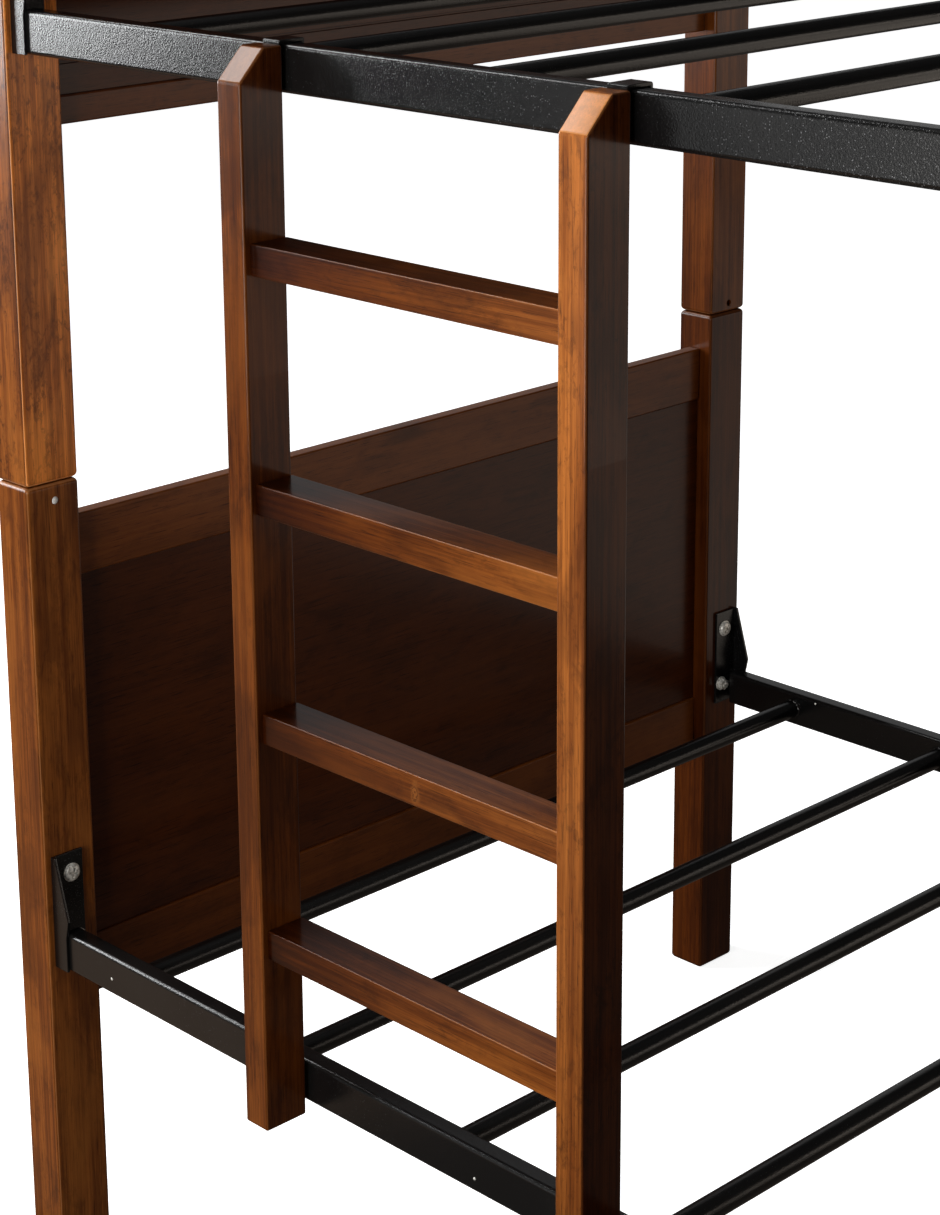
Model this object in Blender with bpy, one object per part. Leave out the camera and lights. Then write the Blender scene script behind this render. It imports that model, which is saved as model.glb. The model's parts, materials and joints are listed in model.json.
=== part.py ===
"""Twin-over-twin bunk bed: wooden end frames, steel decks and a hook-on ladder.

Metres, +Z up. X runs along the bed, from the left end (ladder side) to the
right end; Y runs across it, with the front at -Y. The origin is on the floor,
in the middle of the space that the bed and its ladder take up. The sub-parts
are laid out about the middle of the four posts, and their parent empties carry
them to the origin.
"""
import math

import bmesh
import bpy
from mathutils import Matrix, Vector

# ---- driving dimensions -------------------------------------------------------
LENGTH = 2.028              # over the posts, along X
WIDTH = 1.045               # over the posts, along Y
FIT = 0.0003                # gap left between two pieces that touch

POST_X = 0.048              # post section along the bed
POST_Y = 0.060              # post section across the bed
JOINT_Z = 0.840             # where an upper post stands on a lower one
POST_TOP_Z = 1.640
POST_EDGE = 0.0025          # eased edge of the posts
DOWEL_D = 0.020
DOWEL_LENGTH = 0.080        # half of it in each post
DOWEL_PLAY = 0.0006         # radial play of a dowel in its bore
DOWEL_TIP_PLAY = 0.002      # play between a dowel's end and the bore's bottom

BOARD_T = 0.017             # thickness of the end frames' rails
BOARD_EDGE = 0.0015
PANEL_T = 0.011             # thickness of the panel between them
END_RAIL_H = 0.062
LOWER_END_TOP_Z = 0.798
LOWER_END_BOTTOM_Z = 0.296
UPPER_END_TOP_Z = 1.598
UPPER_END_BOTTOM_Z = 1.174
UPPER_BOTTOM_RAIL_H = 0.0275
PANEL_GROOVE_PITCH = 0.0290  # first groove above the upper panel's lower edge
PANEL_GROOVE_W = 0.003
PANEL_GROOVE_DEPTH = 0.0015

RAIL_T = 0.020              # side rail, rectangular steel tube
RAIL_H = 0.040
RAIL_WALL = 0.0015
RAIL_EDGE = 0.002
RAIL_OFFSET_Y = 0.010       # outer face of a rail, in from the posts' outer face
RAIL_START = 0.062          # end of a rail, in from the end of the bed
LOWER_RAIL_Z = 0.350        # undersides of the side rails
UPPER_RAIL_Z = 1.248

PLATE_T = 0.003             # rail bracket: a plate on the post, folded outside
PLATE_INSET_Y = 0.0068
PLATE_W = 0.0362
PLATE_RISE = 0.076          # height of the plate above the rail
FLANGE_TOP_W = 0.006        # the fold's width at the top, at its knee and below
FLANGE_KNEE_W = 0.024
FLANGE_LOW_W = 0.020
FLANGE_KNEE_RISE = 0.014    # height of the knee above the rail
WELD_OVERLAP = 0.0004       # how far welded shapes run into each other

TUBE_D = 0.021              # cross tubes that carry the mattress
TUBE_WALL = 0.0015
TUBE_COUNT = 9
TUBE_FIRST_X = 0.159        # first tube, in from the left end
TUBE_SIDES = 12

STILE_X = 0.0288            # ladder
STILE_Y = 0.0455
LADDER_LEFT_X = 0.392       # left edge of the left stile, in from the bed's end
LADDER_RIGHT_X = 0.765      # left edge of the right stile
LADDER_FOOT_Z = 0.341
LADDER_BACK_Y = 0.0058      # back of the stiles, in from the posts' outer face
STILE_CHAMFER_Z = 0.027     # the slanted corner at a stile's top
STILE_CHAMFER_Y = 0.026
STILE_EDGE = 0.0015
RUNG_H = 0.027
RUNG_RECESS = 0.0057
RUNG_TOPS = (0.5312, 0.7295, 0.9308, 1.1323)
HOOK_T = 0.003
HOOK_W = 0.020
HOOK_DROP_FRONT = 0.036     # the strap's leg behind the stile
HOOK_DROP_BACK = 0.026      # its lip behind the rail
HOOK_PLAY = 0.0006          # play between the hook and the rail

GUARD_T = 0.020             # guard rails, rectangular steel tube
GUARD_H = 0.030
GUARD_WALL = 0.0015
GUARD_UPPER_Z = 1.560       # undersides of the guard rails
GUARD_LOWER_Z = 1.425
FRONT_GUARD_START = 1.062   # left end of the front guard rails
UPRIGHT_X = 0.030           # upright that holds them on the side rail
UPRIGHT_T = 0.015           # its size across the bed
UPRIGHT_LAP = 0.012         # how far it stands in from the rails' ends

# The ladder stands out at the front, so the posts sit half of that further back.
BED_SHIFT_Y = (STILE_Y - LADDER_BACK_Y) / 2


# ---- helpers --------------------------------------------------------------------
def material(name, colour, roughness, metallic):
    mat = bpy.data.materials.new(name)
    mat.use_nodes = True
    shader = mat.node_tree.nodes["Principled BSDF"]
    shader.inputs["Base Color"].default_value = (*colour, 1.0)
    shader.inputs["Roughness"].default_value = roughness
    shader.inputs["Metallic"].default_value = metallic
    return mat


def place(name, mesh, mat, origin, parent):
    """Make an object of a mesh laid out in its parent's frame, with its own origin."""
    mesh.transform(Matrix.Translation(-Vector(origin)))
    mesh.materials.append(mat.copy())
    mesh.materials[0].name = name + "_finish"
    obj = bpy.data.objects.new(name, mesh)
    bpy.context.scene.collection.objects.link(obj)
    obj.parent = parent
    obj.location = Vector(origin)
    return obj


def mesh_of(bm, name):
    bmesh.ops.recalc_face_normals(bm, faces=bm.faces)
    mesh = bpy.data.meshes.new(name)
    bm.to_mesh(mesh)
    bm.free()
    return mesh


def box_bm(low, high, edge=0.0):
    """A box between two corners, with its edges cut back by a small chamfer."""
    bm = bmesh.new()
    bmesh.ops.create_cube(bm, size=1.0)
    low, high = Vector(low), Vector(high)
    for vert in bm.verts:
        vert.co = Vector(((vert.co[i] + 0.5) * (high[i] - low[i]) + low[i]) for i in range(3))
    if edge:
        bmesh.ops.bevel(bm, geom=list(bm.edges), offset=edge, segments=1, affect="EDGES")
    return bm


def box(name, low, high, mat, parent, edge=0.0):
    middle = (Vector(low) + Vector(high)) / 2
    return place(name, mesh_of(box_bm(low, high, edge), name), mat, middle, parent)


def prism_bm(outline, axis, start, end):
    """Extrude a closed outline of 2-D points along X or Y, between two places."""
    bm = bmesh.new()
    if axis == "X":
        corners = [(start, a, b) for a, b in outline]
        step = Vector((end - start, 0, 0))
    else:
        corners = [(a, start, b) for a, b in outline]
        step = Vector((0, end - start, 0))
    face = bm.faces.new([bm.verts.new(corner) for corner in corners])
    swept = bmesh.ops.extrude_face_region(bm, geom=[face])
    moved = [item for item in swept["geom"] if isinstance(item, bmesh.types.BMVert)]
    bmesh.ops.translate(bm, verts=moved, vec=step)
    return bm


def hollow_bm(outer, inner, axis, start, end):
    """A tube open at both ends, between two outlines of as many points."""
    bm = bmesh.new()
    rings = []
    for outline in (outer, inner):
        for place_along in (start, end):
            if axis == "X":
                ring = [bm.verts.new((place_along, a, b)) for a, b in outline]
            else:
                ring = [bm.verts.new((a, place_along, b)) for a, b in outline]
            rings.append(ring)
    outer_start, outer_end, inner_start, inner_end = rings
    pairs = ((outer_start, outer_end), (inner_end, inner_start),
             (outer_end, inner_end), (inner_start, outer_start))
    count = len(outer)
    for first, second in pairs:
        for i in range(count):
            j = (i + 1) % count
            bm.faces.new((first[i], first[j], second[j], second[i]))
    return bm


def rectangle(a0, b0, a1, b1, cut=0.0):
    """Corners of a rectangle, each cut off at 45 degrees by the given length."""
    if not cut:
        return [(a0, b0), (a1, b0), (a1, b1), (a0, b1)]
    return [(a0 + cut, b0), (a1 - cut, b0), (a1, b0 + cut), (a1, b1 - cut),
            (a1 - cut, b1), (a0 + cut, b1), (a0, b1 - cut), (a0, b0 + cut)]


def circle(a, b, radius, sides):
    turn = 2 * math.pi / sides
    return [(a + radius * math.cos(turn * i), b + radius * math.sin(turn * i)) for i in range(sides)]


def apply_boolean(obj, bm, operation):
    """Join a second shape to an object, or cut it out, and drop the tool shape."""
    tool = bpy.data.objects.new("tool", mesh_of(bm, "tool"))
    bpy.context.scene.collection.objects.link(tool)
    tool.parent = obj.parent
    modifier = obj.modifiers.new("step", "BOOLEAN")
    modifier.operation = operation
    modifier.object = tool
    graph = bpy.context.evaluated_depsgraph_get()
    result = bpy.data.meshes.new_from_object(obj.evaluated_get(graph))
    obj.modifiers.remove(modifier)
    obj.data = result
    bpy.data.objects.remove(tool)


# ---- sub-parts ----------------------------------------------------------------------
def corner_signs():
    """The four corners of the bed: name, side along X, side along Y."""
    return (("front_left", -1, -1), ("rear_left", -1, 1),
            ("front_right", 1, -1), ("rear_right", 1, 1))


def post_centre(side_x, side_y):
    return side_x * (LENGTH - POST_X) / 2, side_y * (WIDTH - POST_Y) / 2


def make_post(name, corner, z0, z1, bore_z, parent):
    x, y = post_centre(*corner)
    half = Vector((POST_X / 2, POST_Y / 2, 0))
    low = Vector((x, y, z0)) - half
    high = Vector((x, y, z1)) + half
    post = box(name, low, high, WOOD, parent, POST_EDGE)
    depth = DOWEL_LENGTH / 2 + DOWEL_TIP_PLAY
    bore = bmesh.new()
    bmesh.ops.create_cone(bore, cap_ends=True, segments=TUBE_SIDES, depth=2 * depth,
                          radius1=DOWEL_D / 2 + DOWEL_PLAY, radius2=DOWEL_D / 2 + DOWEL_PLAY)
    bmesh.ops.translate(bore, verts=bore.verts, vec=(x, y, bore_z))
    apply_boolean(post, bore, "DIFFERENCE")
    return post


def make_dowel(name, corner, parent):
    x, y = post_centre(*corner)
    bm = bmesh.new()
    bmesh.ops.create_cone(bm, cap_ends=True, segments=TUBE_SIDES, depth=DOWEL_LENGTH,
                          radius1=DOWEL_D / 2, radius2=DOWEL_D / 2)
    bmesh.ops.translate(bm, verts=bm.verts, vec=(x, y, JOINT_Z))
    place(name, mesh_of(bm, name), BEECH, (x, y, JOINT_Z), parent)


def make_end(name, side_x, bottom_z, top_z, bottom_rail_h, parent):
    """An end frame's infill: a rail above, a rail below and a thinner panel between."""
    x = side_x * (LENGTH - POST_X) / 2
    y = WIDTH / 2 - POST_Y - FIT
    panel_z0 = bottom_z + bottom_rail_h + FIT
    panel_z1 = top_z - END_RAIL_H - FIT
    half_t = BOARD_T / 2
    box(name + "_top_rail", (x - half_t, -y, top_z - END_RAIL_H), (x + half_t, y, top_z),
        WOOD, parent, BOARD_EDGE)
    box(name + "_bottom_rail", (x - half_t, -y, bottom_z), (x + half_t, y, bottom_z + bottom_rail_h),
        WOOD, parent, BOARD_EDGE)
    return box(name + "_panel", (x - PANEL_T / 2, -y, panel_z0), (x + PANEL_T / 2, y, panel_z1),
               WOOD, parent)


def cut_groove(panel, side_x, z):
    """A shallow groove along the panel's inner face."""
    face_x = side_x * ((LENGTH - POST_X) / 2) - side_x * PANEL_T / 2
    depth = Vector((PANEL_GROOVE_DEPTH, WIDTH, PANEL_GROOVE_W / 2))
    low = Vector((face_x, 0, z)) - depth
    high = Vector((face_x, 0, z)) + depth
    apply_boolean(panel, box_bm(low, high), "DIFFERENCE")


def make_side_rail(name, side_y, rail_z, parent):
    """A rectangular steel tube with a folded bracket welded on at each end."""
    outer_y = side_y * (WIDTH / 2 - RAIL_OFFSET_Y)
    inner_y = outer_y - side_y * RAIL_T
    y0, y1 = min(outer_y, inner_y), max(outer_y, inner_y)
    z0, z1 = rail_z, rail_z + RAIL_H
    end_x = LENGTH / 2 - RAIL_START
    tube = hollow_bm(rectangle(y0, z0, y1, z1, RAIL_EDGE),
                     rectangle(y0 + RAIL_WALL, z0 + RAIL_WALL, y1 - RAIL_WALL, z1 - RAIL_WALL,
                               RAIL_EDGE / 2), "X", -end_x, end_x)
    rail = place(name, mesh_of(tube, name), STEEL, (0, (y0 + y1) / 2, (z0 + z1) / 2), parent)
    for side_x in (-1, 1):
        for shape in bracket_shapes(side_x, side_y, z0, z1):
            apply_boolean(rail, shape, "UNION")
    return rail


def bracket_shapes(side_x, side_y, z0, z1):
    """The plate on the post's face, and its outer fold, which the rail is welded to."""
    post_face = LENGTH / 2 - POST_X - FIT
    top = z1 + PLATE_RISE
    outer_y = WIDTH / 2 - PLATE_INSET_Y
    rail_outer = WIDTH / 2 - RAIL_OFFSET_Y
    outline = [(post_face, z0), (post_face, top), (post_face - FLANGE_TOP_W, top),
               (post_face - FLANGE_KNEE_W, z1 + FLANGE_KNEE_RISE), (post_face - FLANGE_LOW_W, z0)]
    fold = prism_bm([(side_x * a, b) for a, b in outline], "Y",
                    side_y * outer_y, side_y * (rail_outer - WELD_OVERLAP))
    plate = box_bm(*ordered((side_x * post_face, side_y * outer_y, z0),
                            (side_x * (post_face - PLATE_T), side_y * (outer_y - PLATE_W), top)))
    return plate, fold


def ordered(first, second):
    low = tuple(min(a, b) for a, b in zip(first, second))
    high = tuple(max(a, b) for a, b in zip(first, second))
    return low, high


def tube_pitch():
    return (LENGTH - 2 * TUBE_FIRST_X) / (TUBE_COUNT - 1)


def make_cross_tubes(name, rail_z, parent):
    reach = WIDTH / 2 - RAIL_OFFSET_Y - RAIL_T - FIT
    z = rail_z + RAIL_H / 2
    for i in range(TUBE_COUNT):
        x = -LENGTH / 2 + TUBE_FIRST_X + i * tube_pitch()
        bm = hollow_bm(circle(x, z, TUBE_D / 2, TUBE_SIDES),
                       circle(x, z, TUBE_D / 2 - TUBE_WALL, TUBE_SIDES), "Y", -reach, reach)
        full_name = f"{name}_{i + 1}"
        place(full_name, mesh_of(bm, full_name), STEEL, (x, 0, z), parent)


def ladder_left_edges():
    return {"left": -LENGTH / 2 + LADDER_LEFT_X, "right": -LENGTH / 2 + LADDER_RIGHT_X}


def make_stiles(parent):
    back = -WIDTH / 2 + LADDER_BACK_Y
    front = back - STILE_Y
    top = UPPER_RAIL_Z + RAIL_H
    outline = [(front, LADDER_FOOT_Z), (back, LADDER_FOOT_Z), (back, top),
               (front + STILE_CHAMFER_Y, top), (front, top - STILE_CHAMFER_Z)]
    for side, x in ladder_left_edges().items():
        name = f"ladder_stile_{side}"
        bm = prism_bm(outline, "X", x, x + STILE_X)
        bmesh.ops.bevel(bm, geom=list(bm.edges), offset=STILE_EDGE, segments=1, affect="EDGES")
        place(name, mesh_of(bm, name), WOOD, (x + STILE_X / 2, (front + back) / 2, top), parent)


def make_rungs(parent):
    edges = ladder_left_edges()
    back = -WIDTH / 2 + LADDER_BACK_Y
    front = back - STILE_Y + RUNG_RECESS
    x0 = edges["left"] + STILE_X + FIT
    x1 = edges["right"] - FIT
    for i, top in enumerate(RUNG_TOPS):
        box(f"ladder_rung_{i + 1}", (x0, front, top - RUNG_H), (x1, back, top), WOOD, parent, STILE_EDGE)


def make_hooks(parent):
    """Bent steel straps behind the stiles, over the top of the upper side rail."""
    back = -WIDTH / 2 + LADDER_BACK_Y + FIT
    rail_back = -WIDTH / 2 + RAIL_OFFSET_Y + RAIL_T
    lip = rail_back + HOOK_PLAY
    rail_top = UPPER_RAIL_Z + RAIL_H
    under = rail_top + FIT
    over = under + HOOK_T
    outline = [(back, rail_top - HOOK_DROP_FRONT), (back + HOOK_T, rail_top - HOOK_DROP_FRONT),
               (back + HOOK_T, under), (lip, under), (lip, rail_top - HOOK_DROP_BACK),
               (lip + HOOK_T, rail_top - HOOK_DROP_BACK), (lip + HOOK_T, over), (back, over)]
    for side, x in ladder_left_edges().items():
        name = f"ladder_hook_{side}"
        middle = x + STILE_X / 2
        bm = prism_bm(outline, "X", middle - HOOK_W / 2, middle + HOOK_W / 2)
        place(name, mesh_of(bm, name), STEEL, (middle, back, over), parent)


def make_guard_rail(name, side_y, z, x0, x1, parent):
    middle = side_y * (WIDTH / 2 - RAIL_OFFSET_Y - GUARD_T / 2)
    y0, y1 = middle - GUARD_T / 2, middle + GUARD_T / 2
    bm = hollow_bm(rectangle(y0, z, y1, z + GUARD_H, RAIL_EDGE),
                   rectangle(y0 + GUARD_WALL, z + GUARD_WALL, y1 - GUARD_WALL,
                             z + GUARD_H - GUARD_WALL, RAIL_EDGE / 2), "X", x0, x1)
    place(name, mesh_of(bm, name), STEEL, ((x0 + x1) / 2, middle, z + GUARD_H / 2), parent)


def make_guards(parent):
    reach = LENGTH / 2 - POST_X - FIT
    front_x0 = -LENGTH / 2 + FRONT_GUARD_START
    for level, z in (("upper", GUARD_UPPER_Z), ("lower", GUARD_LOWER_Z)):
        make_guard_rail(f"rear_guard_{level}_rail", 1, z, -reach, reach, parent)
        make_guard_rail(f"front_guard_{level}_rail", -1, z, front_x0, reach, parent)
    # The upright stands on the side rail, just inside the front guard rails.
    guard_inner = -WIDTH / 2 + RAIL_OFFSET_Y + GUARD_T
    z0 = UPPER_RAIL_Z
    y0 = guard_inner + FIT
    x0 = front_x0 + UPRIGHT_LAP
    bar = hollow_vertical(x0, y0, UPRIGHT_X, UPRIGHT_T, z0, GUARD_UPPER_Z + GUARD_H)
    place("front_guard_upright", mesh_of(bar, "front_guard_upright"), STEEL,
          (x0 + UPRIGHT_X / 2, y0 + UPRIGHT_T / 2, z0), parent)


def hollow_vertical(x0, y0, size_x, size_y, z0, z1):
    """A rectangular tube standing along Z, open at both ends."""
    outer = rectangle(x0, y0, x0 + size_x, y0 + size_y, RAIL_EDGE)
    inner = rectangle(x0 + GUARD_WALL, y0 + GUARD_WALL, x0 + size_x - GUARD_WALL,
                      y0 + size_y - GUARD_WALL, RAIL_EDGE / 2)
    bm = hollow_bm(outer, inner, "X", z0, z1)
    for vert in bm.verts:
        along, a, b = vert.co
        vert.co = (a, b, along)
    return bm


def empty(name):
    """A parent for the pieces that move together, at the middle of the posts."""
    obj = bpy.data.objects.new(name, None)
    bpy.context.scene.collection.objects.link(obj)
    obj.location = (0, BED_SHIFT_Y, 0)
    return obj


def main():
    lower = empty("lower_bunk_frame")
    upper = empty("upper_bunk_lift")
    ladder = empty("ladder_lift")
    for name, side_x, side_y in corner_signs():
        corner = (side_x, side_y)
        make_post(f"lower_post_{name}", corner, 0.0, JOINT_Z, JOINT_Z, lower)
        make_post(f"upper_post_{name}", corner, JOINT_Z + FIT, POST_TOP_Z, JOINT_Z, upper)
        make_dowel(f"dowel_{name}", corner, lower)
    for side, side_x in (("left", -1), ("right", 1)):
        make_end(f"lower_end_{side}", side_x, LOWER_END_BOTTOM_Z, LOWER_END_TOP_Z, END_RAIL_H, lower)
        panel = make_end(f"upper_end_{side}", side_x, UPPER_END_BOTTOM_Z, UPPER_END_TOP_Z,
                         UPPER_BOTTOM_RAIL_H, upper)
        groove_z = UPPER_END_BOTTOM_Z + UPPER_BOTTOM_RAIL_H + PANEL_GROOVE_PITCH
        cut_groove(panel, side_x, groove_z)
    for level, rail_z, parent in (("lower", LOWER_RAIL_Z, lower), ("upper", UPPER_RAIL_Z, upper)):
        make_side_rail(f"{level}_side_rail_front", -1, rail_z, parent)
        make_side_rail(f"{level}_side_rail_rear", 1, rail_z, parent)
        make_cross_tubes(f"{level}_cross_tube", rail_z, parent)
    make_guards(upper)
    make_stiles(ladder)
    make_rungs(ladder)
    make_hooks(ladder)


for old in list(bpy.data.objects):
    bpy.data.objects.remove(old, do_unlink=True)
WOOD = material("walnut_stained_pine", (0.16, 0.065, 0.028), 0.38, 0.0)
BEECH = material("plain_beech", (0.62, 0.44, 0.27), 0.6, 0.0)
STEEL = material("black_powder_coat", (0.012, 0.012, 0.013), 0.42, 0.0)
main()
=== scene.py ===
"""The looks of a bunk bed: walnut-stained pine ends and ladder, black powder-coated steel decks."""
import json
import math

import bmesh
import bpy
from mathutils import Matrix, Vector


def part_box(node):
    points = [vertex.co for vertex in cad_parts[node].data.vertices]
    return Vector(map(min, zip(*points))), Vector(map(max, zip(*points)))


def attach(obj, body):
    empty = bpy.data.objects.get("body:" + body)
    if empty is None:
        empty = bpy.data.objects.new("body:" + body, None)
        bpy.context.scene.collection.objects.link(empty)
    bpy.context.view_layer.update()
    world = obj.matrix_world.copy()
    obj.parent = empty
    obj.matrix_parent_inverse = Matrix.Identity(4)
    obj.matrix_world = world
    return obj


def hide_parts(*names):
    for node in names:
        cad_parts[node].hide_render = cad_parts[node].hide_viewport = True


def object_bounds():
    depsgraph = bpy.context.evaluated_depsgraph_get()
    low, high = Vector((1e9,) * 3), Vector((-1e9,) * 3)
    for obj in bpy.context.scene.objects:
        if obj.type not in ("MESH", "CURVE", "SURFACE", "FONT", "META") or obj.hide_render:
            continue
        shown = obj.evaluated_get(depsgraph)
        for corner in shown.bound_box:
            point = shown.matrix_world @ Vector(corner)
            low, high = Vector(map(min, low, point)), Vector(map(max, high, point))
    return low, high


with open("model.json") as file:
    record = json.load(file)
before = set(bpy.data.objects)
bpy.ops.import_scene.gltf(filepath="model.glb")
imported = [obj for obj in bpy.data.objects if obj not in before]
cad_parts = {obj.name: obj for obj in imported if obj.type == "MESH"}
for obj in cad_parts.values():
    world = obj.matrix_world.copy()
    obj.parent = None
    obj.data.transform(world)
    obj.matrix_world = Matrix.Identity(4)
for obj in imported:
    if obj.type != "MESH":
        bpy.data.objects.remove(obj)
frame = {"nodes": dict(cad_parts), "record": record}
cad_low, cad_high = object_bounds()

# ---- sizes, in metres, as the CAD has them ----------------------------------------
POST_ROUND = 0.0030          # radius of the eased edges
END_ROUND = 0.0050           # and of the ends of the posts
BOARD_ROUND = 0.0022
PANEL_ROUND = 0.0008
STILE_ROUND = 0.0022
RUNG_ROUND = 0.0015
STILE_CHAMFER_Z = 0.027
STILE_CHAMFER_Y = 0.026

RAIL_T = 0.020
RAIL_H = 0.040
RAIL_WALL = 0.0015
RAIL_ROUND = 0.0042
GUARD_POST_ROUND = 0.003
FOLD_T = 0.0032              # the bracket's fold, outside the rail
RAIL_BACK = 0.0137           # end of a rail, in from its bracket's back
PLATE_T = 0.003
PLATE_W = 0.0362
FOLD_TOP_W = 0.006
FOLD_KNEE_W = 0.024
FOLD_LOW_W = 0.020
FOLD_KNEE_RISE = 0.014
TONGUE_IN = 0.002            # how far the bracket's tongue reaches into the rail
SHEET_ROUND = 0.0007         # broken edges of bent sheet steel
HOOK_ROUND = 0.0004
CORNER_ANGLE = 0.5           # radians: an edge that turns less is part of a curve

BOLT_RISE = 0.0545           # bracket bolt, above the rail's top
BOLT_IN = 0.022              # and in from the bracket's outer side
NUT_DROP = 0.0155            # lower nut, below the rail's top
NUT_IN = 0.0270
BOLT_HEAD_R = 0.0085
BOLT_HEAD_H = 0.0046
NUT_R = 0.0072
NUT_H = 0.0055
STUD_R = 0.0036

GAP = 0.0003                 # between pieces that nearly touch
CAP_T = 0.003                # plastic caps of the front guard
CAP_ROUND = 0.001
UPRIGHT_BOLTS = (0.012, 0.028)    # on the side rail, above the upright's foot

# rail, place along it, height, and the way the rivet faces along Y
RIVETS = (
    ("lower_side_rail_rear", -0.8205, 0.3856, -1),
    ("lower_side_rail_front", -0.8784, 0.3670, -1),
    ("lower_side_rail_front", -0.3868, 0.3630, -1),
)

TUBES_PER_DECK = 9
TUBE_R = 0.0105
TUBE_SIDES = 48
WELD_R = 0.0022
DOWEL_R = 0.010
BORE_R = 0.0106
BORE_DEPTH = 0.042
DOWEL_FLUTES = 18
DOWEL_SIDES = 72
PIN_HOLE_R = 0.0040
PIN_HOLE_DEPTH = 0.011
PIN_BELOW_JOINT = 0.0175     # cross hole of a front post, under the joint
PIN_ABOVE_JOINT = 0.0105     # cross hole of a rear post, over the joint
PIN_ASIDE = 0.002            # both, off the middle of the post

# The camera: where it stands, how it is turned, and its lens.
CAMERA_PLACE = (1.0394, -1.9088, 1.5678)
CAMERA_YAW = 0.8168
CAMERA_PITCH = 0.2516
CAMERA_ROLL = -0.0127
CAMERA_LENS = 80.15
CAMERA_SHIFT = (0.06, -0.19)

# Colours of the wood, the powder coat, the zinc, the beech and the plastics, linear
LIGHT_BAND = (0.390, 0.124, 0.0225)
DARK_BAND = (0.170, 0.045, 0.0080)
LATE_WOOD = (0.085, 0.021, 0.0045)
FIBRE = (0.090, 0.024, 0.0055)
PORE = (0.022, 0.007, 0.0030)
BLOTCH = (0.058, 0.016, 0.0048)
CURL = (0.050, 0.015, 0.0050)
PALE_CLOUD = (0.460, 0.158, 0.0300)
DARK_CLOUD = (0.085, 0.023, 0.0055)
KNOT_RING = (0.045, 0.013, 0.0050)
KNOT_CORE = (0.012, 0.005, 0.0030)
SWIRL = (0.560, 0.220, 0.055)
SWIRL_RIM = (0.060, 0.016, 0.0050)
SWIRL_CORE = (0.100, 0.028, 0.0080)
WORN_EDGE_AND_HIGHLIGHT = (0.640, 0.290, 0.110)
COAT_DARK = (0.0050, 0.0050, 0.0053)
COAT_PALE = (0.0095, 0.0088, 0.0084)
PAINTED_GLINT = (0.300, 0.305, 0.320)
COAT_EDGE_PALE = (0.030, 0.029, 0.028)
ZINC_CLEAN = (0.98, 0.97, 0.92)
ZINC_BLOOM = (0.40, 0.39, 0.36)
BEECH_LIGHT = (0.62, 0.42, 0.24)
BEECH_BAND = (0.50, 0.31, 0.16)
BEECH_RAY = (0.30, 0.17, 0.08)
CAP_DARK = (0.010, 0.010, 0.010)
CAP_SPARK = (0.022, 0.022, 0.023)
PLUG_WHITE = (0.98, 0.98, 0.97)
PLUG_HAZE = (0.90, 0.90, 0.88)


# ---- materials -----------------------------------------------------------------------
class Nodes:
    """A short way to build a shader tree."""

    def __init__(self, name):
        self.mat = bpy.data.materials.new(name)
        self.mat.use_nodes = True
        self.tree = self.mat.node_tree
        self.shader = self.tree.nodes["Principled BSDF"]

    def add(self, kind, **values):
        node = self.tree.nodes.new(kind)
        for key, value in values.items():
            setattr(node, key, value)
        return node

    def link(self, source, target):
        self.tree.links.new(source, target)

    def put(self, socket, value):
        if isinstance(value, bpy.types.NodeSocket):
            self.link(value, socket)
        else:
            socket.default_value = value

    def attribute(self, name, output):
        return self.add("ShaderNodeAttribute", attribute_name=name).outputs[output]

    def stretched(self, vector, scale):
        node = self.add("ShaderNodeVectorMath", operation="MULTIPLY")
        self.put(node.inputs[0], vector)
        node.inputs[1].default_value = scale
        return node.outputs[0]

    def noise(self, vector, scale, detail=3.0, rough=0.55, distort=0.0):
        node = self.add("ShaderNodeTexNoise")
        self.link(vector, node.inputs["Vector"])
        node.inputs["Scale"].default_value = scale
        node.inputs["Detail"].default_value = detail
        node.inputs["Roughness"].default_value = rough
        node.inputs["Distortion"].default_value = distort
        return node.outputs["Fac"]

    def math(self, operation, a, b=0.0, c=None):
        node = self.add("ShaderNodeMath", operation=operation)
        self.put(node.inputs[0], a)
        self.put(node.inputs[1], b)
        if c is not None:
            self.put(node.inputs[2], c)
        return node.outputs[0]

    def span(self, value, low, high, to_low=0.0, to_high=1.0):
        node = self.add("ShaderNodeMapRange", interpolation_type="SMOOTHSTEP")
        self.link(value, node.inputs["Value"])
        node.inputs["From Min"].default_value = low
        node.inputs["From Max"].default_value = high
        node.inputs["To Min"].default_value = to_low
        node.inputs["To Max"].default_value = to_high
        return node.outputs["Result"]

    def mix(self, factor, a, b):
        node = self.add("ShaderNodeMix", data_type="RGBA")
        self.put(node.inputs[0], factor)
        self.put(node.inputs[6], (*a, 1.0) if isinstance(a, tuple) else a)
        self.put(node.inputs[7], (*b, 1.0) if isinstance(b, tuple) else b)
        return node.outputs[2]

    def tint(self, colour, mask, amount, other):
        """Another colour over this one, where the mask is high."""
        return self.mix(self.math("MULTIPLY", mask, amount), colour, other)

    def bump(self, height, strength, distance, under=None):
        node = self.add("ShaderNodeBump")
        node.inputs["Strength"].default_value = strength
        node.inputs["Distance"].default_value = distance
        self.link(height, node.inputs["Height"])
        if under is not None:
            self.link(under, node.inputs["Normal"])
        return node.outputs["Normal"]

    def set(self, **values):
        for key, value in values.items():
            self.put(self.shader.inputs[key.replace("_", " ")], value)


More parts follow.
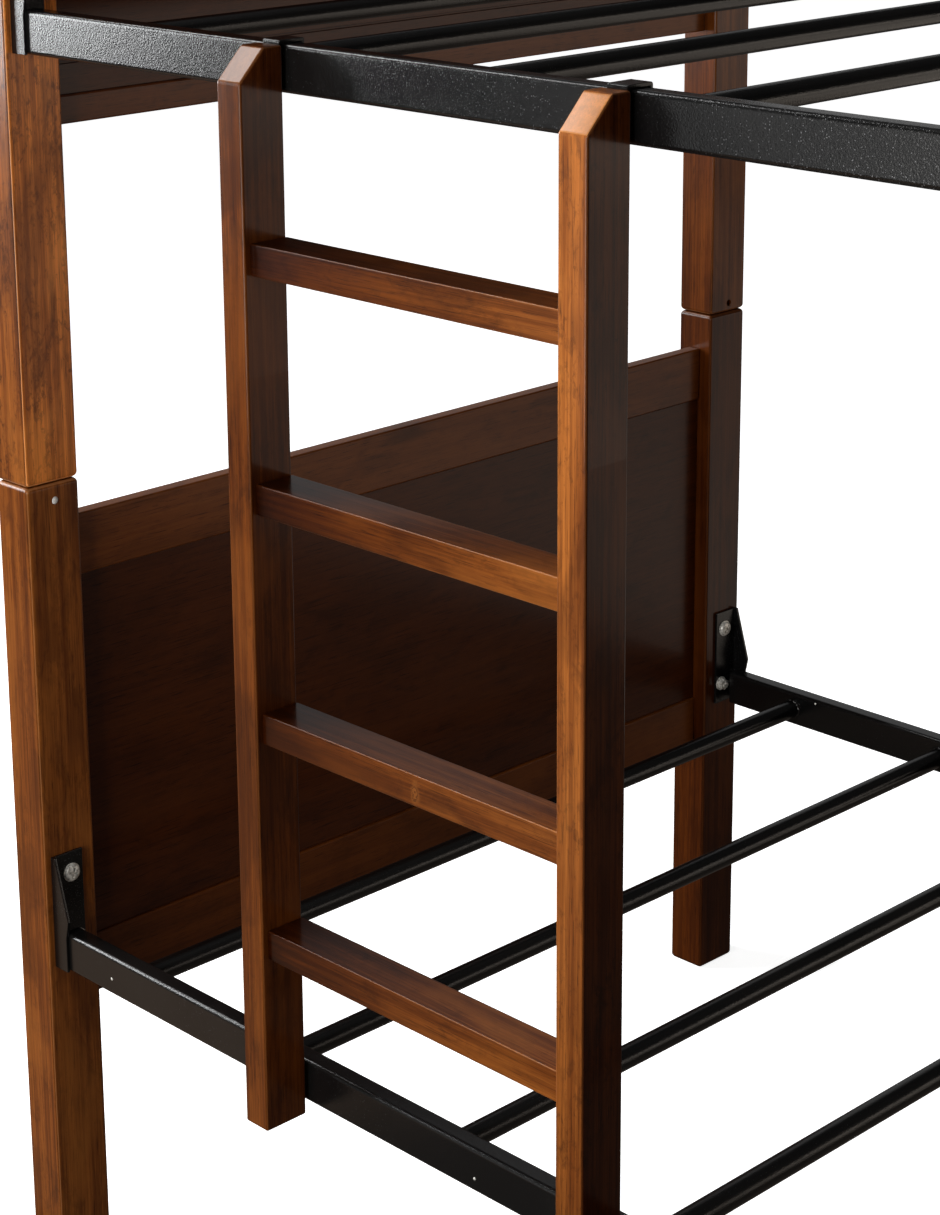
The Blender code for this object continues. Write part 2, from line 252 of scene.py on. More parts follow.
def wood_material(name, contrast, coat_roughness):
    """Pine under a walnut stain and a lacquer.

    The mesh's "grain" attribute is the place in the plank: its third axis runs
    along the fibres. Growth rings are shells about a pith outside the plank.
    "tone" is how light a piece is, its stain together with painted light and shade, "figure" how
    lively its grain is.
    """
    n = Nodes(name)
    grain = n.attribute("grain", "Vector")
    tone = n.attribute("tone", "Fac")
    figure = n.attribute("figure", "Fac")
    edge = n.attribute("edge", "Fac")

    # knots: a few stretched cells, which the rings bend around
    knot_cell = n.add("ShaderNodeTexVoronoi", feature="F1")
    n.link(n.stretched(grain, (9.0, 9.0, 2.9)), knot_cell.inputs["Vector"])
    knot_cell.inputs["Scale"].default_value = 1.0
    knot = n.span(knot_cell.outputs["Distance"], 0.03, 0.15, 1.0, 0.0)
    knot_core = n.span(knot_cell.outputs["Distance"], 0.015, 0.06, 1.0, 0.0)

    # rings: distance from the pith, warped slowly along the plank
    warp = n.noise(n.stretched(grain, (12.0, 12.0, 0.9)), 1.0, 2.0, 0.5)
    wobble = n.noise(n.stretched(grain, (90.0, 90.0, 6.0)), 1.0, 3.0, 0.6)
    across = n.add("ShaderNodeVectorMath", operation="LENGTH")
    n.link(n.stretched(grain, (1.0, 1.0, 0.02)), across.inputs[0])
    radius = n.math("MULTIPLY_ADD", warp, 0.022, across.outputs["Value"])
    radius = n.math("MULTIPLY_ADD", wobble, 0.0030, radius)
    radius = n.math("MULTIPLY_ADD", knot, 0.007, radius)
    ring = n.math("FRACT", n.math("MULTIPLY", radius, 330.0))
    late = n.math("MULTIPLY", n.span(ring, 0.10, 0.80), n.span(ring, 0.84, 1.0, 1.0, 0.0))
    vivid = n.noise(n.stretched(grain, (70.0, 70.0, 2.0)), 1.0, 2.0, 0.5)
    late = n.math("MULTIPLY", late, n.span(vivid, 0.40, 0.62, 0.25, 1.0))

    # fibres, pores and the blotches that stain leaves on pine
    fibre = n.noise(n.stretched(grain, (760.0, 760.0, 13.0)), 1.0, 4.0, 0.65)
    streak = n.noise(n.stretched(grain, (150.0, 150.0, 2.4)), 1.0, 4.0, 0.62)
    pore = n.span(n.noise(n.stretched(grain, (1300.0, 1300.0, 36.0)), 1.0, 1.0, 0.5), 0.61, 0.70)
    blotch = n.noise(n.stretched(grain, (42.0, 42.0, 15.0)), 1.0, 5.0, 0.62, 0.9)
    cloud = n.noise(n.stretched(grain, (13.0, 13.0, 5.5)), 1.0, 3.0, 0.55, 0.4)
    curl = n.noise(n.stretched(grain, (190.0, 190.0, 100.0)), 1.0, 5.0, 0.72, 0.5)
    cluster = n.noise(n.stretched(grain, (34.0, 34.0, 16.0)), 1.0, 2.0, 0.5)
    curl = n.math("MULTIPLY_ADD", n.span(cluster, 0.40, 0.62), 0.10, curl)

    low, high = 0.5 - 0.5 * contrast, 0.5 + 0.5 * contrast
    colour = n.mix(n.span(streak, 0.36, 0.66, low, high), LIGHT_BAND, DARK_BAND)
    colour = n.tint(colour, late, 0.34 * contrast, LATE_WOOD)
    colour = n.tint(colour, n.span(fibre, 0.42, 0.72), 0.10 + 0.45 * contrast, FIBRE)
    colour = n.tint(colour, pore, 0.60, PORE)
    lively = n.math("MULTIPLY_ADD", figure, 0.55, 0.25)
    colour = n.tint(colour, n.span(blotch, 0.52, 0.70), lively, BLOTCH)
    colour = n.tint(colour, n.span(curl, 0.55, 0.74), n.math("MULTIPLY", figure, 0.80), CURL)
    colour = n.tint(colour, n.span(cloud, 0.50, 0.68), 0.15 + 0.35 * contrast, PALE_CLOUD)
    colour = n.tint(colour, n.span(cloud, 0.36, 0.48, 1.0, 0.0), 0.20 + 0.35 * contrast, DARK_CLOUD)
    colour = n.tint(colour, knot, 0.60, KNOT_RING)
    colour = n.tint(colour, knot_core, 0.85, KNOT_CORE)

    # one knot at a chosen place: a pale swirl round a dark core
    apart = n.add("ShaderNodeVectorMath", operation="SUBTRACT")
    n.link(grain, apart.inputs[0])
    n.link(n.attribute("knot_at", "Vector"), apart.inputs[1])
    reach = n.add("ShaderNodeVectorMath", operation="LENGTH")
    n.link(n.stretched(apart.outputs[0], (1.0, 0.70, 1.7)), reach.inputs[0])
    ragged = n.noise(n.stretched(grain, (150.0, 150.0, 110.0)), 1.0, 3.0, 0.6)
    swirl = n.math("MULTIPLY_ADD", ragged, 0.016, reach.outputs["Value"])
    colour = n.tint(colour, n.span(swirl, 0.011, 0.020, 1.0, 0.0), 0.55, SWIRL)
    rim = n.math("MULTIPLY", n.span(swirl, 0.0118, 0.0130), n.span(swirl, 0.0130, 0.0145, 1.0, 0.0))
    colour = n.tint(colour, rim, 0.60, SWIRL_RIM)
    colour = n.tint(colour, n.span(swirl, 0.0085, 0.0098, 1.0, 0.0), 0.65, SWIRL_CORE)
    # the eased edges are paler: part wear, part a painted highlight along each arris
    colour = n.tint(colour, edge, 0.42, WORN_EDGE_AND_HIGHLIGHT)

    # a low tone, from heavy stain and from painted shade, turns the wood redder as it turns it
    # darker
    depth = n.add("ShaderNodeCombineXYZ")
    stain_and_shade = n.math("MINIMUM", tone, 1.0)
    n.link(tone, depth.inputs[0])
    n.link(n.math("MULTIPLY", tone, n.math("POWER", stain_and_shade, 0.25)), depth.inputs[1])
    n.link(n.math("MULTIPLY", tone, n.math("POWER", stain_and_shade, 0.60)), depth.inputs[2])
    dark = n.add("ShaderNodeVectorMath", operation="MULTIPLY")
    n.link(colour, dark.inputs[0])
    n.link(depth.outputs[0], dark.inputs[1])

    gloss = n.math("MULTIPLY_ADD", fibre, 0.14, 0.26)
    gloss = n.math("MULTIPLY_ADD", blotch, 0.14, gloss)
    height = n.math("MULTIPLY_ADD", fibre, 0.7, n.math("MULTIPLY", late, 0.5))
    height = n.math("SUBTRACT", height, n.math("MULTIPLY", pore, 0.7))
    relief = n.bump(height, 0.32, 0.00012)
    slow = n.noise(n.stretched(grain, (35.0, 35.0, 12.0)), 1.0, 2.0, 0.5)
    relief = n.bump(slow, 0.22, 0.0010, relief)
    n.set(Base_Color=dark.outputs[0], Roughness=gloss, Normal=relief)
    n.set(Coat_Weight=0.46, Coat_Roughness=coat_roughness, Coat_IOR=1.5, Specular_IOR_Level=0.04)
    return n.mat


def steel_material():
    """Black powder coat: an orange-peel skin, with bright specks painted on as glints of the light.
    """
    n = Nodes("black_powder_coat")
    place = n.add("ShaderNodeTexCoord").outputs["Object"]
    peel = n.noise(place, 760.0, 1.0, 0.5)
    grit = n.noise(place, 1700.0, 1.0, 0.6)
    patch = n.noise(place, 5.0, 3.0, 0.5)
    grain = n.add("ShaderNodeTexVoronoi", feature="F1")
    n.link(place, grain.inputs["Vector"])
    grain.inputs["Scale"].default_value = 560.0
    pick = n.add("ShaderNodeSeparateColor")
    n.link(grain.outputs["Color"], pick.inputs[0])
    # bright specks painted on the coat as glints of the light, thicker where the piece's tone is
    # higher
    drift = n.span(n.noise(place, 9.0, 2.0, 0.5), 0.36, 0.60, 0.1, 1.0)
    drift = n.math("MULTIPLY", drift, n.attribute("tone", "Fac"))
    glint_speck = n.math("MULTIPLY", n.span(grain.outputs["Distance"], 0.14, 0.34, 1.0, 0.0), drift)
    glint_speck = n.math("MULTIPLY", glint_speck, n.span(pick.outputs["Red"], 0.62, 0.95))
    colour = n.mix(n.span(patch, 0.35, 0.70), COAT_DARK, COAT_PALE)
    colour = n.tint(colour, glint_speck, 0.85, PAINTED_GLINT)
    # the coat is paler on its rounded edges
    colour = n.tint(colour, n.attribute("edge", "Fac"), 0.20, COAT_EDGE_PALE)
    rough = n.math("MULTIPLY_ADD", patch, 0.08, 0.11)
    rough = n.math("MULTIPLY_ADD", grit, 0.08, rough)
    skin = n.bump(peel, 0.75, 0.00022)
    skin = n.bump(grit, 0.60, 0.00010, skin)
    n.set(Base_Color=colour, Roughness=rough, Normal=skin)
    return n.mat


def zinc_material():
    """Zinc plate, faintly yellow, with a dull bloom and turning marks."""
    n = Nodes("zinc_plate")
    place = n.add("ShaderNodeTexCoord").outputs["Object"]
    bloom = n.noise(place, 260.0, 4.0, 0.6)
    marks = n.noise(place, 2600.0, 2.0, 0.6)
    colour = n.mix(n.span(bloom, 0.44, 0.66), ZINC_CLEAN, ZINC_BLOOM)
    rough = n.math("MULTIPLY_ADD", bloom, 0.30, 0.18)
    n.set(Base_Color=colour, Roughness=rough, Metallic=0.30, Normal=n.bump(marks, 0.3, 0.00005))
    return n.mat


def beech_material():
    """Plain beech of the dowels, with its short dark rays."""
    n = Nodes("plain_beech")
    grain = n.attribute("grain", "Vector")
    rays = n.noise(n.stretched(grain, (900.0, 900.0, 130.0)), 1.0, 2.0, 0.5)
    bands = n.noise(n.stretched(grain, (140.0, 140.0, 4.0)), 1.0, 3.0, 0.5)
    colour = n.mix(n.span(bands, 0.3, 0.7), BEECH_LIGHT, BEECH_BAND)
    colour = n.tint(colour, n.span(rays, 0.6, 0.7), 0.6, BEECH_RAY)
    n.set(Base_Color=colour, Roughness=n.math("MULTIPLY_ADD", bands, 0.2, 0.5),
          Normal=n.bump(rays, 0.3, 0.0001))
    return n.mat


def cap_material():
    """Moulded black plastic of the guard's caps."""
    n = Nodes("moulded_cap")
    place = n.add("ShaderNodeTexCoord").outputs["Object"]
    spark = n.noise(place, 900.0, 3.0, 0.6)
    colour = n.mix(spark, CAP_DARK, CAP_SPARK)
    n.set(Base_Color=colour, Roughness=n.math("MULTIPLY_ADD", spark, 0.15, 0.42),
          Normal=n.bump(spark, 0.35, 0.0001))
    return n.mat


def pale_material():
    """White moulded plastic of the plugs in the cross holes."""
    n = Nodes("pale_plug")
    place = n.add("ShaderNodeTexCoord").outputs["Object"]
    haze = n.noise(place, 700.0, 2.0, 0.5)
    colour = n.mix(haze, PLUG_WHITE, PLUG_HAZE)
    n.set(Base_Color=colour, Roughness=n.math("MULTIPLY_ADD", haze, 0.1, 0.3))
    return n.mat


WOOD = wood_material("walnut_stained_pine", 0.85, 0.16)
VENEER = wood_material("walnut_stained_veneer", 0.25, 0.24)
STEEL = steel_material()
ZINC = zinc_material()
BEECH = beech_material()
CAP = cap_material()
PALE = pale_material()

# each post's tone, how lively its grain is, and the painted light and sheen on its inner face
# against the others:
# the lower post, then the upper one. A higher tone is lighter, mostly stain; the low tones of the
# rear left posts are painted shade, far from the light.
POST_LOOKS = {
    "front_left": ((0.70, 0.35, 1.30), (0.86, 0.9, 2.8)),
    "rear_left": ((0.25, 0.2, 1.10), (0.40, 0.2, 1.45)),
    "front_right": ((0.95, 0.3, 1.0), (1.0, 0.5, 1.0)),
    "rear_right": ((0.9, 0.2, 1.0), (0.95, 0.4, 1.0)),
}
# the boards' tones are kept low: part stain, part painted shade on the end faces turned from the
# light
BOARD_TONES = {"top_rail": (0.64, 0.52), "panel": 0.25, "bottom_rail": (0.42, 0.56)}
# the tone of the ladder's pieces, from one end of a piece to the other; the right stile, lighter
# towards its top, and the rungs, dark at the left and light at the right, carry painted light and
# shade
STILE_TONES = {"left": (0.50, 0.48), "right": (0.84, 1.50)}
# painted shade on the stiles' inner faces, which turn from the light
STILE_INNER_PAINTED_SHADE = {"left": 0.80, "right": 0.24}
STILE_FIGURES = {"left": 0.35, "right": 0.60}
RUNG_TONES = (0.10, 0.84)
RUNG_FIGURE = 0.35
RUNGS = 4
KNOTTED_RUNG = 1             # the second from below
KNOT_PLACE = (0.54, 0.45)    # along the rung and up it
NO_KNOT = (9.0, 9.0, 9.0)    # far off every piece


# ---- mesh helpers ------------------------------------------------------------------------
def body_of(node):
    bodies = frame["record"]["behaviour"]["bodies"]
    return next(name for name, nodes in bodies.items() if node in nodes)


def grain_axes(axis):
    """Which coordinates lie across the grain and which one along it."""
    return {"X": (1, 2, 0), "Y": (2, 0, 1), "Z": (0, 1, 2)}[axis]


def mark(mesh, axis, seed, tone, figure, inner_light_and_shade, knot):
    """Write the attributes that the materials read: place in the plank, tone, edge.

    A tone is a number, or a pair of numbers for the two ends of the plank.
    """
    order = grain_axes(axis)
    offset = Vector((0.055 + 0.031 * math.sin(seed * 2.3), 0.060 * math.cos(seed * 1.7) + 0.01,
                     7.7 * math.sin(seed * 5.1)))
    middle = sum((v.co for v in mesh.vertices), Vector()) / len(mesh.vertices)
    kinds = {"grain": ("FLOAT_VECTOR", "POINT"), "knot_at": ("FLOAT_VECTOR", "POINT"),
             "tone": ("FLOAT", "CORNER"), "figure": ("FLOAT", "POINT"), "edge": ("FLOAT", "CORNER")}
    for name, (kind, domain) in kinds.items():
        mesh.attributes.new(name, kind, domain)
    grain, knots, tones, figures, edges = [mesh.attributes[name].data for name in kinds]
    for i, vert in enumerate(mesh.vertices):
        local = vert.co - middle
        grain[i].vector = Vector([local[k] for k in order]) + offset
        knots[i].vector = Vector([(Vector(knot) - middle)[k] for k in order]) + offset
        figures[i].value = figure
    start, end = tone if isinstance(tone, tuple) else (tone, tone)
    along = [v.co[order[2]] for v in mesh.vertices]
    first, length = min(along), max(max(along) - min(along), 1e-6)
    for face in mesh.polygons:
        arris = max(abs(c) for c in face.normal) < 0.88
        inner = face.normal.x * -middle.x > 0.5 * abs(middle.x)
        for loop in face.loop_indices:
            edges[loop].value = 1.0 if arris and axis != "Y" else 0.0
            here = start + (end - start) * (along[mesh.loops[loop].vertex_index] - first) / length
            # faces turned to the bed's middle take their own factor: painted light and shade
            tones[loop].value = here * inner_light_and_shade if inner else here


def piece(name, bm, mat, body, axis="Z", seed=0.0, tone=1.0, figure=0.2, smooth=40.0,
          nodes=(), inner_light_and_shade=1.0, knot=NO_KNOT):
    """Make one visible piece of a bmesh laid out in the frame, riding on its body."""
    bmesh.ops.remove_doubles(bm, verts=bm.verts, dist=1e-6)
    bmesh.ops.recalc_face_normals(bm, faces=bm.faces)
    if bm.calc_volume(signed=True) < 0:
        bmesh.ops.reverse_faces(bm, faces=bm.faces)
    mesh = bpy.data.meshes.new(name)
    bm.to_mesh(mesh)
    bm.free()
    finish_mesh(name, mesh, mat, body, axis, seed, tone, figure, smooth, nodes, inner_light_and_shade, knot)


def finish_mesh(name, mesh, mat, body, axis, seed, tone, figure, smooth, nodes, inner_light_and_shade,
                knot=NO_KNOT):
    """Give a mesh its material and attributes, and make it a piece that rides on a body."""
    mesh.materials.clear()
    mesh.materials.append(mat)
    mark(mesh, axis, seed, tone, figure, inner_light_and_shade, knot)
    mesh.shade_smooth()
    mesh.set_sharp_from_angle(angle=math.radians(smooth))
    obj = bpy.data.objects.new(name, mesh)
    bpy.context.scene.collection.objects.link(obj)
    weighted = obj.modifiers.new("weighted_normal", "WEIGHTED_NORMAL")
    weighted.keep_sharp = True
    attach(obj, body)
    if nodes:
        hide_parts(*nodes)


def cut_mesh(bm, cutters, name):
    """The mesh of a shape with other shapes cut out of it."""
    bmesh.ops.recalc_face_normals(bm, faces=bm.faces)
    mesh = bpy.data.meshes.new(name + "_solid")
    bm.to_mesh(mesh)
    bm.free()
    obj = bpy.data.objects.new(name + "_solid", mesh)
    bpy.context.scene.collection.objects.link(obj)
    tools = []
    for cutter in cutters:
        bmesh.ops.recalc_face_normals(cutter, faces=cutter.faces)
        tool_mesh = bpy.data.meshes.new(name + "_tool")
        cutter.to_mesh(tool_mesh)
        cutter.free()
        tool = bpy.data.objects.new(name + "_tool", tool_mesh)
        bpy.context.scene.collection.objects.link(tool)
        step = obj.modifiers.new("cut", "BOOLEAN")
        step.operation = "DIFFERENCE"
        step.object = tool
        tools.append(tool)
    graph = bpy.context.evaluated_depsgraph_get()
    result = bpy.data.meshes.new_from_object(obj.evaluated_get(graph))
    for old in tools + [obj]:
        bpy.data.objects.remove(old)
    return result


# A point from its place along an axis and its two places across it
ALONG = {"X": lambda s, a, b: (s, a, b), "Y": lambda s, a, b: (a, s, b),
         "Z": lambda s, a, b: (a, b, s)}


def round_edges(bm, edges, radius, segments):
    bmesh.ops.bevel(bm, geom=list(edges), offset=radius, segments=segments, profile=0.5,
                    affect="EDGES")


def skin(bm, first, second):
    """Faces between two rings of as many vertices."""
    for i in range(len(first)):
        j = (i + 1) % len(first)
        bm.faces.new((first[i], first[j], second[j], second[i]))


def reopened(mesh):
    """A mesh as a bmesh again; the mesh itself is let go."""
    bm = bmesh.new()
    bm.from_mesh(mesh)
    bpy.data.meshes.remove(mesh)
    return bm


def block(low, high, radius=0.0, segments=3):
    """A box with rounded edges."""
    bm = bmesh.new()
    bmesh.ops.create_cube(bm, size=1.0)
    low, high = Vector(low), Vector(high)
    for vert in bm.verts:
        vert.co = Vector([low[i] + (vert.co[i] + 0.5) * (high[i] - low[i]) for i in range(3)])
    if radius:
        round_edges(bm, bm.edges, radius, segments)
    return bm


def sweep(outline, axis, start, end, radius=0.0, segments=2):
    """Extrude a closed 2-D outline along an axis, and round its real corners."""
    bm = bmesh.new()
    make = ALONG[axis]
    base = bm.faces.new([bm.verts.new(make(start, a, b)) for a, b in outline])
    swept = bmesh.ops.extrude_face_region(bm, geom=[base])
    moved = [item for item in swept["geom"] if isinstance(item, bmesh.types.BMVert)]
    step = Vector(make(end, 0, 0)) - Vector(make(start, 0, 0))
    bmesh.ops.translate(bm, verts=moved, vec=step)
    bmesh.ops.recalc_face_normals(bm, faces=bm.faces)
    if radius:
        corners = [edge for edge in bm.edges if edge.calc_face_angle(0.0) > CORNER_ANGLE]
        round_edges(bm, corners, radius, segments)
    return bm


def round_rectangle(a0, b0, a1, b1, radius, steps=5):
    corners = ((a1 - radius, b1 - radius, 0.0), (a0 + radius, b1 - radius, 0.5),
               (a0 + radius, b0 + radius, 1.0), (a1 - radius, b0 + radius, 1.5))
    points = []
    for a, b, turn in corners:
        for i in range(steps + 1):
            angle = math.pi * (turn + 0.5 * i / steps)
            points.append((a + radius * math.cos(angle), b + radius * math.sin(angle)))
    return points


def pipe(outer, inner, axis, start, end):
    """A tube between two outlines of as many points, open at both ends."""
    bm = bmesh.new()
    make = ALONG[axis]
    rings = [[bm.verts.new(make(s, a, b)) for a, b in outline] for outline in (outer, inner)
             for s in (start, end)]
    outer_start, outer_end, inner_start, inner_end = rings
    pairs = ((outer_start, outer_end), (inner_end, inner_start),
             (outer_end, inner_end), (inner_start, outer_start))
    for first, second in pairs:
        skin(bm, first, second)
    return bm


def circle(a, b, radius, sides, flutes=0, depth=0.0):
    turn = 2 * math.pi / sides
    points = []
    for i in range(sides):
        r = radius - depth * (0.5 - 0.5 * math.cos(flutes * turn * i)) if flutes else radius
        points.append((a + r * math.cos(turn * i), b + r * math.sin(turn * i)))
    return points


def turned(profile, sides):
    """Spin a profile of (radius, height) points about Z."""
    bm = bmesh.new()
    rings = []
    for radius, height in profile:
        if radius == 0:
            rings.append([bm.verts.new((0, 0, height))])
        else:
            rings.append([bm.verts.new((a, b, height)) for a, b in circle(0, 0, radius, sides)])
    for lower, upper in zip(rings, rings[1:]):
        for i in range(sides):
            j = (i + 1) % sides
            if len(upper) == 1:
                bm.faces.new((lower[i], lower[j], upper[0]))
            elif len(lower) == 1:
                bm.faces.new((lower[0], upper[j], upper[i]))
            else:
                bm.faces.new((lower[i], lower[j], upper[j], upper[i]))
    return bm


def cylinder(centre, axis, radius, length, sides=24):
    bm = bmesh.new()
    bmesh.ops.create_cone(bm, cap_ends=True, segments=sides, depth=length,
                          radius1=radius, radius2=radius)
    turn = {"X": Matrix.Rotation(math.pi / 2, 4, "Y"), "Y": Matrix.Rotation(math.pi / 2, 4, "X"),
            "Z": Matrix.Identity(4)}[axis]
    bm.transform(Matrix.Translation(Vector(centre)) @ turn)
    return bm


def merge(target, source):
    """Add one bmesh to another."""
    mesh = bpy.data.meshes.new("merge")
    source.to_mesh(mesh)
    source.free()
    target.from_mesh(mesh)
    bpy.data.meshes.remove(mesh)


# ---- wooden pieces -------------------------------------------------------------------------
def make_post(node, seed, tone, figure, inner_light_and_shade):
    """A post, with its dowel's bore and the small cross hole beside the joint."""
    low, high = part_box(node)
    is_lower = node.startswith("lower")
    middle = (low + high) / 2
    joint_z = high.z if is_lower else low.z
    inner = 1 if middle.x < 0 else -1
    cutters = [cylinder((middle.x, middle.y, joint_z), "Z", BORE_R, 2 * BORE_DEPTH)]
    is_front = "front" in node
    if is_front == is_lower:
        offset = -PIN_BELOW_JOINT if is_lower else PIN_ABOVE_JOINT
        face_x = high.x if inner > 0 else low.x
        cutters.append(cylinder((face_x, middle.y + PIN_ASIDE, joint_z + offset), "X",
                                PIN_HOLE_R, 2 * PIN_HOLE_DEPTH, 20))
    mesh = cut_mesh(post_solid(low, high), cutters, node)
    finish_mesh("wood_" + node, mesh, WOOD, body_of(node), "Z", seed, tone, figure, 35.0,
                (node,), inner_light_and_shade)
    if is_front and is_lower:
        # a white plug, a little loose, closes the hole
        r = PIN_HOLE_R * 0.92
        pin = turned([(0, -0.010), (r, -0.010), (r, -0.0004), (r * 0.85, 0.0002), (r * 0.6, 0.0006),
                      (r * 0.3, 0.0008), (0, 0.0009)], 20)
        pin.transform(Matrix.Translation((face_x, middle.y + PIN_ASIDE, joint_z + offset))
                      @ Matrix.Rotation(inner * math.pi / 2, 4, "Y"))
        piece(f"cross_pin_{node}", pin, PALE, body_of(node))


def post_solid(low, high):
    """A square post with eased edges, and ends rounded more than its edges."""
    bm = bmesh.new()
    steps = 6
    turns = [0.5 * math.pi * i / steps for i in range(steps + 1)]
    levels = [(END_ROUND * (1 - math.sin(t)), low.z + END_ROUND * (1 - math.cos(t))) for t in turns]
    levels += [(inset, low.z + high.z - z) for inset, z in reversed(levels)]
    rings = []
    for inset, z in levels:
        outline = round_rectangle(low.x + inset, low.y + inset, high.x - inset, high.y - inset,
                                  POST_ROUND)
        rings.append([bm.verts.new((a, b, z)) for a, b in outline])
    for lower, upper in zip(rings, rings[1:]):
        skin(bm, lower, upper)
    bm.faces.new(rings[0])
    bm.faces.new(rings[-1])
    return bm


def make_boards():
    """The end frames: rails, and the panels between them."""
    seed = 40.0
    for level in ("lower", "upper"):
        for side in ("left", "right"):
            for part, tone in BOARD_TONES.items():
                node = f"{level}_end_{side}_{part}"
                low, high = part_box(node)
                seed += 1.7
                if part == "panel" and level == "upper":
                    bm = panel_with_groove(low, high, 1 if side == "left" else -1)
                else:
                    bm = block(low, high, PANEL_ROUND if part == "panel" else BOARD_ROUND, 3)
                piece("wood_" + node, bm, VENEER, body_of(node), "Y", seed, tone, nodes=(node,))


def panel_with_groove(low, high, inner):
    """The upper panel, with a shallow groove along its inner face."""
    rise, half, depth = 0.029, 0.0015, 0.0015
    face, back = (high.x, low.x) if inner > 0 else (low.x, high.x)
    floor = face - inner * depth
    z = low.z + rise
    outline = [(back, low.z), (face, low.z), (face, z - half), (floor, z - half / 2),
               (floor, z + half / 2), (face, z + half), (face, high.z), (back, high.z)]
    return sweep(outline, "Y", low.y, high.y)


def make_ladder():
    """Stiles with a slanted top corner, and four rungs set a little back from their fronts."""
    for i, side in enumerate(("left", "right")):
        node = f"ladder_stile_{side}"
        low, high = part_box(node)
        outline = [(low.y, low.z), (high.y, low.z), (high.y, high.z),
                   (low.y + STILE_CHAMFER_Y, high.z), (low.y, high.z - STILE_CHAMFER_Z)]
        bm = sweep(outline, "X", low.x, high.x, STILE_ROUND, 3)
        piece("wood_" + node, bm, WOOD, "ladder", "Z", 11.3 + 4.1 * i, STILE_TONES[side],
              STILE_FIGURES[side], nodes=(node,), inner_light_and_shade=STILE_INNER_PAINTED_SHADE[side])
    for i in range(RUNGS):
        node = f"ladder_rung_{i + 1}"
        low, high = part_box(node)
        knot = NO_KNOT
        if i == KNOTTED_RUNG:
            along, up = KNOT_PLACE
            knot = (low.x + along * (high.x - low.x), low.y, low.z + up * (high.z - low.z))
        piece("wood_" + node, block(low, high, RUNG_ROUND, 3), WOOD, "ladder", "X",
              21.0 + 2.9 * i, RUNG_TONES, RUNG_FIGURE, nodes=(node,), knot=knot)


def make_dowels():
    """Fluted beech dowels with tapered ends."""
    for node in [name for name in frame["nodes"] if name.startswith("dowel")]:
        low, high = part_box(node)
        middle = (low + high) / 2
        bm = bmesh.new()
        taper = 0.002
        levels = ((low.z, 0.85), (low.z + taper, 1.0), (high.z - taper, 1.0), (high.z, 0.85))
        rings = []
        for z, scale in levels:
            outline = circle(middle.x, middle.y, DOWEL_R * scale, DOWEL_SIDES, DOWEL_FLUTES, 0.0006)
            rings.append([bm.verts.new((a, b, z)) for a, b in outline])
        for lower, upper in zip(rings, rings[1:]):
            skin(bm, lower, upper)
        bm.faces.new(rings[0])
        bm.faces.new(rings[-1])
        piece("beech_" + node, bm, BEECH, body_of(node), "Z", middle.x, nodes=(node,))


# ---- steel pieces ----------------------------------------------------------------------------
def box_tube(a0, b0, a1, b1, radius, steps, axis, start, end):
    """A rectangular tube with rounded corners."""
    return pipe(round_rectangle(a0, b0, a1, b1, radius, steps),
                round_rectangle(a0 + RAIL_WALL, b0 + RAIL_WALL, a1 - RAIL_WALL, b1 - RAIL_WALL,
                                radius - RAIL_WALL, steps), axis, start, end)


def make_side_rail(node):
    """A rounded rectangular tube, and its two folded brackets."""
    low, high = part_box(node)
    body = body_of(node)
    sign = 1 if "rear" in node else -1
    outer = high.y if sign > 0 else low.y
    rail_outer = outer - sign * FOLD_T
    y0, y1 = sorted((rail_outer, rail_outer - sign * RAIL_T))
    z0, z1 = low.z, low.z + RAIL_H
    tube = box_tube(y0, z0, y1, z1, RAIL_ROUND, 6, "X", low.x + RAIL_BACK, high.x - RAIL_BACK)
    # painted glints: bright specks lie along the upper front rail, more and more to its right,
    # where its sheen breaks into sparkles
    glint_specks = (0.0, 1.6) if node == "upper_side_rail_front" else 0.12
    piece("steel_" + node, tube, STEEL, body, "X", tone=glint_specks, smooth=50.0, nodes=(node,))
    for end, x, inward in (("left", low.x, 1), ("right", high.x, -1)):
        make_bracket(f"{node}_{end}", body, x, inward, outer, sign, z0, z1, high.z)


def make_bracket(name, body, x, inward, outer, sign, z0, z1, top):
    """A bent bracket, with a plate on the post, a fold outside the rail, a bolt and a nut."""
    margin = 0.004
    levels = ((z0, FOLD_LOW_W), (z1 - margin, FOLD_LOW_W), (z1 + FOLD_KNEE_RISE, FOLD_KNEE_W),
              (top, FOLD_TOP_W))
    fold = bent_sheet(x, inward, outer, -sign, (PLATE_T, PLATE_W, FOLD_T), levels)
    tongue = ordered((x + inward * PLATE_T / 2, outer - sign * FOLD_T / 2, z0 + margin),
                     (x + inward * (RAIL_BACK + TONGUE_IN), outer - sign * (FOLD_T + TONGUE_IN),
                      z1 - margin))
    merge(fold, block(*tongue, SHEET_ROUND, 1))
    piece("bracket_" + name, fold, STEEL, body, tone=0.25)
    face = x + inward * PLATE_T
    bolt_place = (face, outer - sign * BOLT_IN, z1 + BOLT_RISE)
    fastener(f"bolt_{name}", bolt_head(), body, bolt_place, inward, 0.35 * len(name))
    nut_place = (face, outer - sign * NUT_IN, z1 - NUT_DROP)
    fastener(f"nut_{name}", nut_on_stud(), body, nut_place, inward, 0.5)


